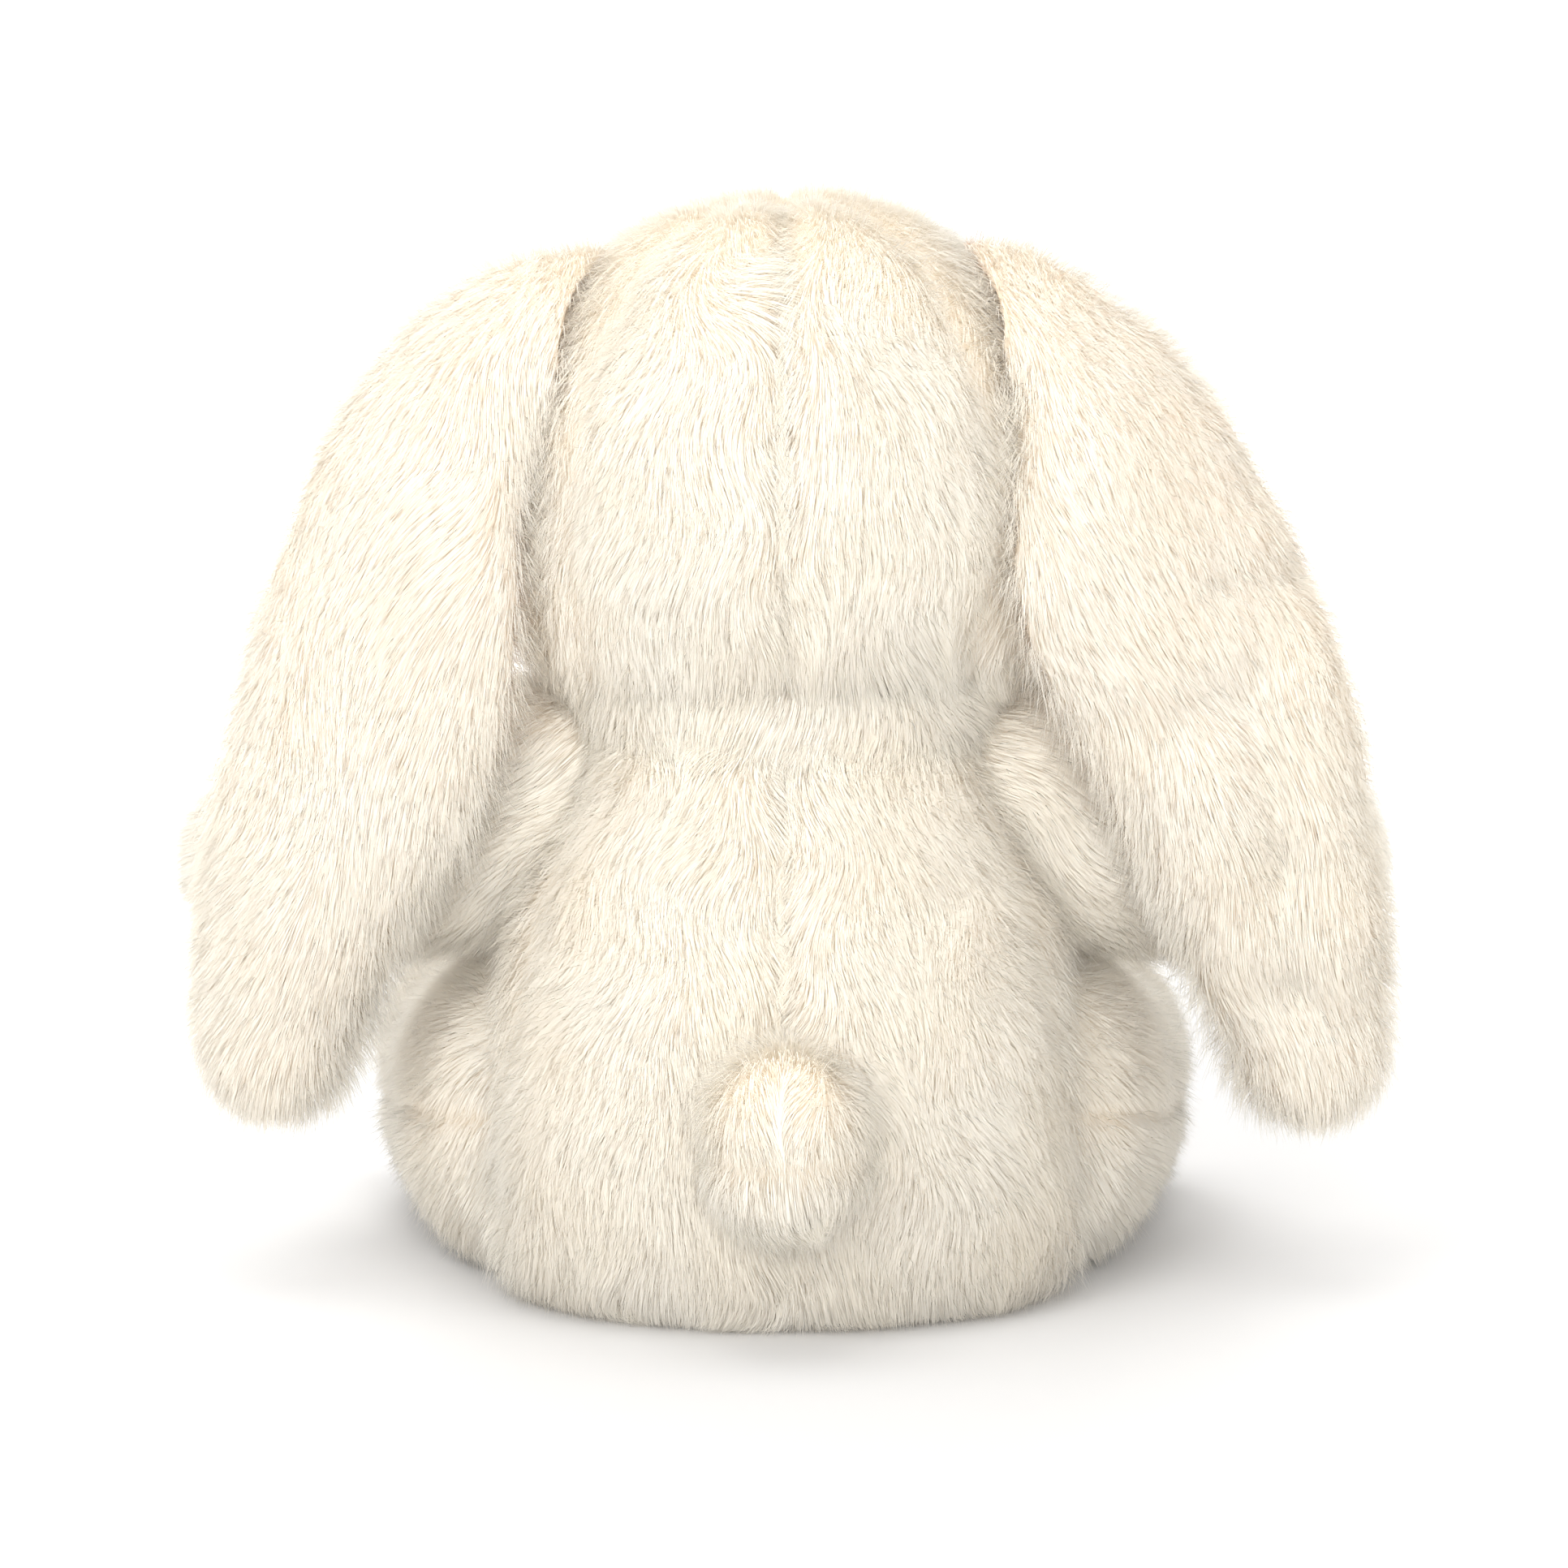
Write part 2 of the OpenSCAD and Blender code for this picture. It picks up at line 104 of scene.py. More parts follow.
def tuft_centres(points, size, seed):
    """The nearest of a set of scattered centres that lie about size apart."""
    cells = np.floor(points / size).astype(np.int64)
    best = np.full(len(points), np.inf)
    centres = np.zeros_like(points)
    for step in product((-1, 0, 1), repeat=3):
        near = cells + np.array(step)
        here = (near + cell_jitter(near, seed)) * size
        far = np.sum((here - points) ** 2, axis=1)
        closer = far < best
        best[closer] = far[closer]
        centres[closer] = here[closer]
    return centres


def segment_distance(points, start, end):
    """Distance from each point to a straight segment."""
    start, end = np.array(start, float), np.array(end, float)
    run = end - start
    t = np.clip(((points - start) @ run) / (run @ run), 0, 1)
    return np.linalg.norm(points - start - t[:, None] * run, axis=1)


def smooth_step(x, low, high):
    t = np.clip((x - low) / (high - low), 0, 1)
    return t * t * (3 - 2 * t)


# ---------------------------------------------------------------- meshes
def mesh_arrays(mesh):
    """Vertices, vertex normals and triangles of a mesh."""
    verts = np.empty(len(mesh.vertices) * 3, np.float32)
    mesh.vertices.foreach_get("co", verts)
    normals = np.empty(len(mesh.vertices) * 3, np.float32)
    mesh.vertex_normals.foreach_get("vector", normals)
    mesh.calc_loop_triangles()
    tris = np.empty(len(mesh.loop_triangles) * 3, np.int32)
    mesh.loop_triangles.foreach_get("vertices", tris)
    return verts.reshape(-1, 3).astype(float), normals.reshape(-1, 3).astype(float), tris.reshape(-1, 3)


def new_mesh(name, verts, faces_by_size, smooth=True):
    """A mesh from an array of vertices and arrays of faces, one array for each number of corners."""
    mesh = bpy.data.meshes.new(name)
    mesh.vertices.add(len(verts))
    mesh.vertices.foreach_set("co", np.asarray(verts, np.float32).ravel())
    corners = np.concatenate([f.ravel() for f in faces_by_size])
    sizes = np.concatenate([np.full(len(f), f.shape[1]) for f in faces_by_size])
    mesh.loops.add(len(corners))
    mesh.loops.foreach_set("vertex_index", corners.astype(np.int32))
    mesh.polygons.add(len(sizes))
    starts = np.concatenate([[0], np.cumsum(sizes)[:-1]])
    mesh.polygons.foreach_set("loop_start", starts.astype(np.int32))
    mesh.update(calc_edges=True)
    mesh.polygons.foreach_set("use_smooth", np.full(len(sizes), smooth))
    return mesh


def add_object(name, mesh):
    obj = bpy.data.objects.new(name, mesh)
    bpy.context.scene.collection.objects.link(obj)
    return obj


def outer_island(verts, tris):
    """Only the triangles that are joined to the highest vertex."""
    parent = np.arange(len(verts))
    edges = np.concatenate([tris[:, [0, 1]], tris[:, [1, 2]]])
    while True:
        low = np.minimum(parent[edges[:, 0]], parent[edges[:, 1]])
        before = parent.copy()
        np.minimum.at(parent, edges[:, 0], low)
        np.minimum.at(parent, edges[:, 1], low)
        parent = parent[parent]
        if (parent == before).all():
            break
    keep = parent[tris[:, 0]] == parent[np.argmax(verts[:, 2])]
    used, back = np.unique(tris[keep], return_inverse=True)
    return verts[used], back.reshape(-1, 3)


def wrapped_skin(nodes, voxel, smoothing):
    """One closed skin around CAD nodes, evenly meshed: its vertices, normals and triangles."""
    parts = [mesh_arrays(frame["nodes"][n].data) for n in nodes]
    offsets = np.cumsum([0] + [len(p[0]) for p in parts])
    verts = np.concatenate([p[0] for p in parts])
    tris = np.concatenate([p[2] + o for p, o in zip(parts, offsets)])
    obj = add_object("wrap", new_mesh("wrap", verts, [tris]))
    remesh = obj.modifiers.new("even", "REMESH")
    remesh.mode = "VOXEL"
    remesh.voxel_size = voxel
    smooth = obj.modifiers.new("smooth", "SMOOTH")
    smooth.factor = 0.5
    smooth.iterations = smoothing
    bpy.context.view_layer.update()
    result = bpy.data.meshes.new_from_object(obj.evaluated_get(bpy.context.evaluated_depsgraph_get()))
    verts, _, tris = mesh_arrays(result)
    bpy.data.objects.remove(obj)
    bpy.data.meshes.remove(result)
    return reshaped(*outer_island(verts, tris))


def reshaped(verts, tris):
    """Vertices, fresh normals and triangles."""
    mesh = new_mesh("shape", verts, [tris])
    arrays = mesh_arrays(mesh)
    bpy.data.meshes.remove(mesh)
    return arrays


def nearest_panel(points, nodes):
    """The index in nodes of the CAD panel that each point is nearest to."""
    best = np.full(len(points), np.inf)
    which = np.zeros(len(points), int)
    for k, node in enumerate(nodes):
        verts, _, tris = mesh_arrays(frame["nodes"][node].data)
        tree = BVHTree.FromPolygons(verts.tolist(), tris.tolist())
        far = np.array([tree.find_nearest(p)[3] for p in points.tolist()])
        closer = far < best - 1e-6
        best[closer] = far[closer]
        which[closer] = k
    return which


def distance_to(points, targets):
    """Distance from each point to the nearest target."""
    if len(targets) == 0:
        return np.full(len(points), 1.0)
    tree = KDTree(len(targets))
    for k, target in enumerate(targets.tolist()):
        tree.insert(target, k)
    tree.balance()
    return np.array([tree.find(p)[2] for p in points.tolist()])


# ---------------------------------------------------------------- pile
def strands(rng, roots, normals, comb, length, rings, stand, width, tuft, pinch):
    """Tapered ribbons that leave the cloth at stand[0] from its normal and lie over to stand[1]."""
    count = len(roots)
    comb = unit(along_surface(comb, normals))
    length = (length * rng.uniform(0.7, 1.2, count))[:, None]
    lean = rng.normal(0, 0.2, count) - 0.6 * (rng.uniform(size=count) < 0.06)
    pull = along_surface(tuft_centres(roots, tuft, 11) - roots, normals)
    wide_pull = along_surface(tuft_centres(roots, tuft * 2.6, 23) - roots, normals)
    here = roots - normals * 0.4 * MM
    points = [here]
    for k in range(rings - 1):
        t = k / max(rings - 2, 1)
        angle = (stand[0] + (stand[1] - stand[0]) * t + lean)[:, None]
        here = here + (normals * np.cos(angle) + comb * np.sin(angle)) * length / (rings - 1)
        points.append(here + pinch * ((k + 1) / (rings - 1)) ** 1.4 * (pull + 0.35 * wide_pull))
    along = unit(points[-2] - points[0])
    side = unit(np.cross(normals, along))
    tilt = rng.normal(0, 0.35, count)[:, None]
    side = side * np.cos(tilt) + np.cross(along, side) * np.sin(tilt)
    verts = []
    for k in range(rings - 1):
        half = side * width * (1 - 0.45 * k / (rings - 1)) / 2
        verts += [points[k] + half, points[k] - half]
    verts.append(points[-1])
    per = len(verts)
    verts = np.stack(verts, axis=1).reshape(-1, 3)
    first = (np.arange(count) * per)[:, None]
    quads = np.concatenate([first + [2 * k, 2 * k + 1, 2 * k + 3, 2 * k + 2] for k in range(rings - 2)])
    tips = first + [per - 3, per - 2, per - 1]
    shading = unit(normals + 0.09 * unit(rng.normal(size=(count, 3))) + 0.12 * comb)
    return verts, quads, tips, np.repeat(shading, per, axis=0)


def scatter(rng, verts, normals, tris):
    """Random points on the triangles with their normals."""
    a, b, c = verts[tris[:, 0]], verts[tris[:, 1]], verts[tris[:, 2]]
    area = np.linalg.norm(np.cross(b - a, c - a), axis=1) / 2
    count = int(min(area.sum() * DENSITY, (MOST_TRIANGLES - len(tris)) / TRIANGLES_PER_STRAND))
    pick = rng.choice(len(tris), count, p=area / area.sum())
    u, v = rng.uniform(size=(2, count))
    over = u + v > 1
    u[over], v[over] = 1 - u[over], 1 - v[over]
    shares = np.stack([1 - u - v, u, v], axis=1)[:, :, None]
    return (verts[tris[pick]] * shares).sum(1), unit((normals[tris[pick]] * shares).sum(1))


def pile_piece(name, skin, keep, body, material, slot, nodes, seed, look):
    """One sewn panel, its cloth and pile as one mesh; look gives the comb, the length and options."""
    verts, normals, tris = skin
    rng = np.random.default_rng(seed)
    used, back = np.unique(tris[keep], return_inverse=True)
    cloth = back.reshape(-1, 3)
    cloth_verts, cloth_normals = verts[used], normals[used]
    roots, out = scatter(rng, cloth_verts, cloth_normals, cloth)
    comb, length, options = look(roots, out)
    grown = length > 0.5 * MM
    roots, out, comb, length = roots[grown], out[grown], comb[grown], length[grown]
    shape = dict(rings=3, stand=(0.6, 1.3), width=0.14 * MM, tuft=1.8 * MM, pinch=0.08) | options
    hair, quads, tips, shading = strands(rng, roots, out, comb, length, **shape)
    hair[:, 2] = np.maximum(hair[:, 2], FLOOR_CLEARANCE)
    base = len(cloth_verts)
    mesh = new_mesh(name, np.concatenate([cloth_verts, hair]), [cloth, quads + base, tips + base])
    tone = 0.5 + 0.1 * rng.normal(size=len(roots)) + 0.12 * ripples(roots, 22 * MM, 5)
    tone = np.clip(tone, 0.02, 0.98)
    set_palette(mesh, len(cloth), tone, length, shape["rings"])
    mesh.normals_split_custom_set_from_vertices(np.concatenate([cloth_normals, shading]))
    mesh.materials.append(material)
    obj = add_object(name, mesh)
    if nodes:
        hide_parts(*nodes)
    if body:
        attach(obj, body)
    return obj


def set_palette(mesh, cloth_faces, tone, length, rings):
    """The bake map: across it runs each strand's tone, and up it the way from the foot of each strand to
    its tip; the cloth under the pile sits at the foot, in the painted shade of the roots.
    """
    uv = mesh.uv_layers.new(name="OFBake")
    low = 0.06
    rise = np.clip(length / (8 * MM), 0.35, 1)
    levels = [low + (1 - low - 0.02) * rise * k / (rings - 1) for k in range(rings)]
    # The cloth takes the bottom of the map, the painted shade colour of the roots.
    u, v = [np.full(cloth_faces * 3, 0.5)], [np.full(cloth_faces * 3, low / 2)]
    for k in range(rings - 2):
        v.append(np.stack([levels[k], levels[k], levels[k + 1], levels[k + 1]], axis=1).ravel())
        u.append(np.repeat(tone, 4))
    v.append(np.stack([levels[-2], levels[-2], levels[-1]], axis=1).ravel())
    u.append(np.repeat(tone, 3))
    u, v = np.concatenate(u), np.concatenate(v)
    uv.data.foreach_set("uv", np.stack([u, v], axis=1).astype(np.float32).ravel())


# ---------------------------------------------------------------- materials
def node_material(name):
    material = bpy.data.materials.new(name)
    material.use_nodes = True
    tree = material.node_tree
    shader = tree.nodes["Principled BSDF"]
    return material, tree, shader


def ramp(tree, source, stops):
    node = tree.nodes.new("ShaderNodeValToRGB")
    node.color_ramp.interpolation = "EASE"
    while len(node.color_ramp.elements) < len(stops):
        node.color_ramp.elements.new(0.5)
    for element, (place, colour) in zip(node.color_ramp.elements, stops):
        element.position = place
        element.color = (*colour, 1)
    tree.links.new(source, node.inputs["Fac"])
    return node.outputs["Color"]


def mixed(tree, factor, a, b, mode="MIX"):
    node = tree.nodes.new("ShaderNodeMix")
    node.data_type = "RGBA"
    node.blend_type = mode
    for socket, value in ((node.inputs["Factor"], factor), (node.inputs["A"], a), (node.inputs["B"], b)):
        if isinstance(value, bpy.types.NodeSocket):
            tree.links.new(value, socket)
        else:
            socket.default_value = value
    return node.outputs["Result"]


def pile_material(name, root_shade, warm, pale, glow):
    """Long pile: darker and warmer at the roots, where that colour is painted shade from deep in the
    pile, with strands that run from warm to pale.
    """
    material, tree, shader = node_material(name)
    uv = tree.nodes.new("ShaderNodeUVMap")
    uv.uv_map = "OFBake"
    split = tree.nodes.new("ShaderNodeSeparateXYZ")
    tree.links.new(uv.outputs["UV"], split.inputs["Vector"])
    tone = ramp(tree, split.outputs["X"], [(0.1, warm), (0.85, pale)])
    # Painted shade: the lower part of each strand blends to the darker, warmer colour of the roots.
    rise = ramp(tree, split.outputs["Y"], [(0.05, (0, 0, 0)), (0.6, (1, 1, 1))])
    colour = mixed(tree, rise, (*root_shade, 1), tone)
    tree.links.new(colour, shader.inputs["Base Color"])
    shader.inputs["Roughness"].default_value = 0.85
    shader.inputs["Specular IOR Level"].default_value = 0.25
    shader.inputs["Sheen Weight"].default_value = 0.2
    shader.inputs["Sheen Roughness"].default_value = 0.6
    through = tree.nodes.new("ShaderNodeBsdfTranslucent")
    tree.links.new(colour, through.inputs["Color"])
    mix = tree.nodes.new("ShaderNodeMixShader")
    mix.inputs["Fac"].default_value = glow
    tree.links.new(shader.outputs["BSDF"], mix.inputs[1])
    tree.links.new(through.outputs["BSDF"], mix.inputs[2])
    tree.links.new(mix.outputs["Shader"], tree.nodes["Material Output"].inputs["Surface"])
    return material


def noise(tree, scale, detail=3, stretch=None):
    """Noise in the piece's own space."""
    place = tree.nodes.new("ShaderNodeTexCoord").outputs["Object"]
    if stretch:
        mapping = tree.nodes.new("ShaderNodeMapping")
        mapping.inputs["Scale"].default_value = stretch
        tree.links.new(place, mapping.inputs["Vector"])
        place = mapping.outputs["Vector"]
    node = tree.nodes.new("ShaderNodeTexNoise")
    node.inputs["Scale"].default_value = scale
    node.inputs["Detail"].default_value = detail
    tree.links.new(place, node.inputs["Vector"])
    return node.outputs["Fac"]


def bump(tree, shader, height, strength, distance):
    node = tree.nodes.new("ShaderNodeBump")
    node.inputs["Strength"].default_value = strength
    node.inputs["Distance"].default_value = distance
    tree.links.new(height, node.inputs["Height"])
    tree.links.new(node.outputs["Normal"], shader.inputs["Normal"])


def cloth_material(name, dark, light, scale, roughness=0.9, sheen=0.4, depth=0.3 * MM, stretch=None):
    """Short velour, thread or fibre, by its two tones and the size of its grain."""
    material, tree, shader = node_material(name)
    grain = noise(tree, scale, stretch=stretch)
    tree.links.new(ramp(tree, grain, [(0.3, dark), (0.7, light)]), shader.inputs["Base Color"])
    shader.inputs["Roughness"].default_value = roughness
    shader.inputs["Sheen Weight"].default_value = sheen
    bump(tree, shader, grain, 0.6, depth)
    return material


def plastic_material(name, colour, variation, roughness, coat):
    material, tree, shader = node_material(name)
    grain = noise(tree, 900)
    darker = tuple(c * (1 - variation) for c in colour)
    tree.links.new(ramp(tree, grain, [(0.35, darker), (0.65, colour)]), shader.inputs["Base Color"])
    shader.inputs["Roughness"].default_value = roughness
    shader.inputs["Coat Weight"].default_value = coat
    shader.inputs["Coat Roughness"].default_value = 0.03
    return material


# The first colour of each pile is painted shade: the darker, warmer colour of the roots deep in the pile.
FUR = pile_material("pile", (0.952, 0.866, 0.735), (0.968, 0.925, 0.836), (0.979, 0.954, 0.891), 0.5)
LINING = pile_material("ear_lining", (0.90, 0.74, 0.62), (0.93, 0.84, 0.75), (0.955, 0.90, 0.83), 0.3)
SOLE = pile_material("sole_velour", (0.88, 0.70, 0.58), (0.92, 0.79, 0.69), (0.945, 0.85, 0.77), 0.25)
FIBRE = cloth_material("fibre", (0.80, 0.80, 0.78), (0.95, 0.95, 0.94), 300)
POUCH = cloth_material("pouch_cloth", (0.75, 0.75, 0.72), (0.88, 0.88, 0.85), 1500)
NOSE = cloth_material("nose_thread", (0.50, 0.22, 0.20), (0.68, 0.36, 0.33), 700, 0.6, 0.3,
                      stretch=(1, 1, 0.1))
MOUTH = cloth_material("mouth_thread", (0.40, 0.20, 0.17), (0.56, 0.32, 0.28), 1800, 0.6, 0.2)
SEAM = cloth_material("seam_thread", (0.80, 0.72, 0.58), (0.92, 0.87, 0.77), 1800, 0.6, 0.2)
EYE = plastic_material("eye_plastic", (0.03, 0.016, 0.01), 0.5, 0.12, 1.0)
WASHER = plastic_material("washer_plastic", (0.82, 0.82, 0.8), 0.08, 0.5, 0.0)
PELLET = plastic_material("pellet_plastic", (0.75, 0.75, 0.72), 0.15, 0.4, 0.0)


def finish_cad_node(node, material):
    obj = frame["nodes"][node]
    obj.data.materials.clear()
    obj.data.materials.append(material)


# ---------------------------------------------------------------- shared facts from the frame
FLOOR_CLEARANCE = 0.25 * MM
DOWN = np.array([0.0, 0.0, -1.0])
JOINTS = {j["name"]: j for j in frame["joints"]}
NECK = np.array(JOINTS["neck_nod"]["pos_m"])
EYES = {side: sum(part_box("eye_" + side), Vector()) / 2 for side in SIDES}
NOSE_PLACE = np.array(sum(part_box("nose"), Vector()) / 2)
STITCHES = mesh_arrays(frame["nodes"]["mouth_stitches"].data)[0]
MOUTH_PLACE = STITCHES.mean(0)
NECK_REACH = 9 * MM
SHOULDER = np.array(JOINTS["arm_left_raise"]["pos_m"])
PILE = 9.5 * MM
SKIN_MESH = 1.5 * MM
FINE_MESH = 1.2 * MM
CLOTH_MESH = 5 * MM
CLOTH_STEPS = 20
PRESSURE = 400.0
TORSO_PRESSURE = 40.0
MOST_SWELL = 2 * MM
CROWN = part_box("head_back_left")[1][2]


def seam_points(skin, which):
    """Midpoints of the edges that lie between two panels."""
    verts, _, tris = skin
    owner = {}
    found = []
    for face, corners in enumerate(tris.tolist()):
        for a, b in ((0, 1), (1, 2), (2, 0)):
            edge = (min(corners[a], corners[b]), max(corners[a], corners[b]))
            other = owner.setdefault(edge, face)
            if which[other] != which[face]:
                found.append(edge)
    edges = np.array(found, int).reshape(-1, 2)
    return (verts[edges[:, 0]] + verts[edges[:, 1]]) / 2


def pressed_out(skin, panels, inner, pressure):
    """The skin after its filling has pushed it out between the seams, by a short cloth simulation."""
    before, _, tris = wrapped_skin(panels + inner, CLOTH_MESH, 3)
    which = nearest_panel(before[tris].mean(1), panels)
    seams = seam_points((before, None, tris), which)
    pinned = np.flatnonzero(distance_to(before, seams) < 0.8 * CLOTH_MESH)
    obj = add_object("stuffed", new_mesh("stuffed", before, [tris]))
    obj.vertex_groups.new(name="seams").add(pinned.tolist(), 1.0, "REPLACE")
    settings = obj.modifiers.new("cloth", "CLOTH").settings
    settings.quality = 5
    settings.vertex_group_mass = "seams"
    settings.use_pressure = True
    settings.uniform_pressure_force = pressure
    settings.effector_weights.gravity = 0
    scene = bpy.context.scene
    for step in range(1, CLOTH_STEPS + 1):
        scene.frame_set(step)
    result = bpy.data.meshes.new_from_object(obj.evaluated_get(bpy.context.evaluated_depsgraph_get()))
    swell = mesh_arrays(result)[0] - before
    bpy.data.objects.remove(obj)
    bpy.data.meshes.remove(result)
    scene.frame_set(1)
    far = np.linalg.norm(swell, axis=1, keepdims=True)
    swell = swell * np.minimum(1, MOST_SWELL / np.maximum(far, 1e-9))
    tree = KDTree(len(before))
    for k, place in enumerate(before.tolist()):
        tree.insert(place, k)
    tree.balance()
    verts, _, fine = skin
    moved = np.empty_like(verts)
    for k, place in enumerate(verts.tolist()):
        near = tree.find_n(place, 5)
        share = np.array([1 / (n[2] + 0.3 * CLOTH_MESH) ** 2 for n in near])
        moved[k] = verts[k] + (share[:, None] * swell[[n[1] for n in near]]).sum(0) / share.sum()
    return reshaped(moved, fine)


def lumps(points, height):
    """The slight unevenness of a hand-stuffed body."""
    return height * (0.7 * ripples(points, 34 * MM, 3) + 0.3 * ripples(points, 15 * MM, 4))


def sewn_body(body, panels, inner, voxel, seed, comb, length, seam_depth, shape=None, short=None):
    """Skins one CAD body, pulls its seams in, and grows pile on each of its panels."""
    pressure = TORSO_PRESSURE if body == "torso" else PRESSURE
    skin = pressed_out(wrapped_skin(panels + inner, voxel, 6), panels, inner, pressure)
    centres = skin[0][skin[2]].mean(1)
    which = nearest_panel(centres, panels)
    seams = seam_points(skin, which)
    verts, normals, tris = skin
    near = distance_to(verts, seams)
    depth = seam_depth(verts)
    move = lumps(verts, 0.7 * MM) - depth * np.exp(-((near / (2.6 * MM)) ** 2))
    move += 0.25 * depth * np.exp(-(((near - 9 * MM) / (6 * MM)) ** 2))
    if shape:
        move += shape(verts, normals)
    verts = verts + normals * move[:, None]
    verts[:, 2] = np.maximum(verts[:, 2], 0.3 * MM)
    skin = reshaped(verts, tris)

    def look(points, out):
        away = distance_to(points, seams)
        parted = smooth_step(points[:, 2], 6 * MM, 16 * MM)
        full = length(points) * (1 - 0.6 * parted * (1 - smooth_step(away, 0.3 * MM, 3.2 * MM)))
        if short:
            full = full * short(points)
        full = full * np.where(out[:, 2] < -0.75, smooth_step(points[:, 2], 0, 9 * MM) * 0.75 + 0.25, 1)
        return comb(points, out), full, {}

    left_half = skin[0][skin[2]].mean(1)[:, 0] > 0
    for k, node in enumerate(panels):
        keep = which == k
        if node.endswith("_sole"):
            parts = [("_velour", keep, SOLE, "sole", seed + k, velour)]
        elif node == "belly":
            parts = [
                ("_left_pile", keep & left_half, FUR, "pile_fabric", seed + 20 + k, look),
                ("_right_pile", keep & ~left_half, FUR, "pile_fabric", seed + 20 + k, look),
            ]
        else:
            parts = [("_pile", keep, FUR, "pile_fabric", seed + k, look)]
        for ending, part, material, slot, part_seed, grow in parts:
            piece = pile_piece(node + ending, skin, part, body, material, slot, [node], part_seed, grow)


def even(amount):
    """The same length or depth everywhere."""
    return lambda points: np.full(len(points), amount)


def velour(points, out):
    """Very short, upright pile."""
    shape = dict(rings=3, stand=(0.2, 0.7), width=0.22 * MM, tuft=1.4 * MM, pinch=0.2)
    return DOWN + 0.4 * swirl(points, 12 * MM, 95), np.full(len(points), 1.6 * MM), shape


# ---------------------------------------------------------------- the bodies
def combed_down(points, out):
    return DOWN + 0.35 * swirl(points, 26 * MM, 40) + 0.25 * out


def head():
    def comb(points, out):
        face = smooth_step(-points[:, 1], 5 * MM, 35 * MM)[:, None]
        outward = unit(points - NOSE_PLACE)
        crown = smooth_step(out[:, 2], 0.75, 0.97)[:, None] * np.array([0, 1.0, 0])
        back = combed_down(points, out) + crown
        return (1 - face) * back + face * (outward + 0.15 * swirl(points, 20 * MM, 50))

    def length(points):
        near_nose = np.linalg.norm(points - NOSE_PLACE, axis=1)
        face = smooth_step(-points[:, 1], 10 * MM, 40 * MM)
        return PILE * (1 - 0.45 * face) * (0.45 + 0.55 * smooth_step(near_nose, 8 * MM, 30 * MM))

    def short(points):
        out = np.ones(len(points))
        for place in EYES.values():
            out = np.minimum(out, 0.25 + 0.75 * smooth_step(
                np.linalg.norm(points - np.array(place), axis=1), 6.5 * MM, 15 * MM))
        out = np.minimum(out, 0.3 + 0.7 * smooth_step(distance_to(points, STITCHES), 1.5 * MM, 5 * MM))
        crown = smooth_step(points[:, 2], CROWN - 14 * MM, CROWN - 2 * MM)
        near_nose = smooth_step(np.linalg.norm(points - NOSE_PLACE, axis=1), 5 * MM, 9 * MM)
        return out * (1 - 0.35 * crown) * near_nose

    def seam_depth(points):
        back = (np.abs(points[:, 0]) < 8 * MM) & (points[:, 1] > 0)
        front = (np.abs(points[:, 0]) < 8 * MM) & (points[:, 1] < 0)
        return np.where(back, 2.6 * MM, np.where(front, 0.5 * MM, 1.2 * MM))

    def full_cheeks(points, normals):
        level = np.exp(-(((points[:, 2] - NECK[2] - 12 * MM) / (10 * MM)) ** 2))
        cheeks = 2.2 * MM * level * smooth_step(np.abs(points[:, 0]), 28 * MM, 44 * MM)
        from_muzzle = segment_distance(points, NOSE_PLACE, MOUTH_PLACE)
        return cheeks + 1.3 * MM * (1 - smooth_step(from_muzzle, 8 * MM, 20 * MM))

    sewn_body("head", ["head_back_left", "head_back_right", "face_left", "face_right"],
              ["head_filling"], SKIN_MESH, 100, comb, length, seam_depth, full_cheeks, short)


def torso():
    def seam_depth(points):
        back = (np.abs(points[:, 0]) < 8 * MM) & (points[:, 1] > 0)
        return np.where(back, 2.0 * MM, 1.3 * MM) * smooth_step(points[:, 2], 4 * MM, 12 * MM)

    sewn_body("torso", ["torso_back_left", "torso_back_right", "belly", "seat_panel"],
              ["torso_filling", "bean_pouch"], SKIN_MESH, 200, combed_down, even(PILE),
              seam_depth)


def radius_at(nodes, height, angles):
    """How far out these CAD nodes reach from the neck's axis, at one height, for each angle."""
    reach = np.zeros(len(angles))
    for node in nodes:
        verts, _, tris = mesh_arrays(frame["nodes"][node].data)
        tree = BVHTree.FromPolygons(verts.tolist(), tris.tolist())
        for k, a in enumerate(angles):
            way = Vector((math.sin(a), math.cos(a), 0))
            hit = tree.ray_cast(Vector((0, 0, height)) + way * 0.1, -way)
            if hit[0]:
                reach[k] = max(reach[k], 0.1 - hit[3])
    return reach


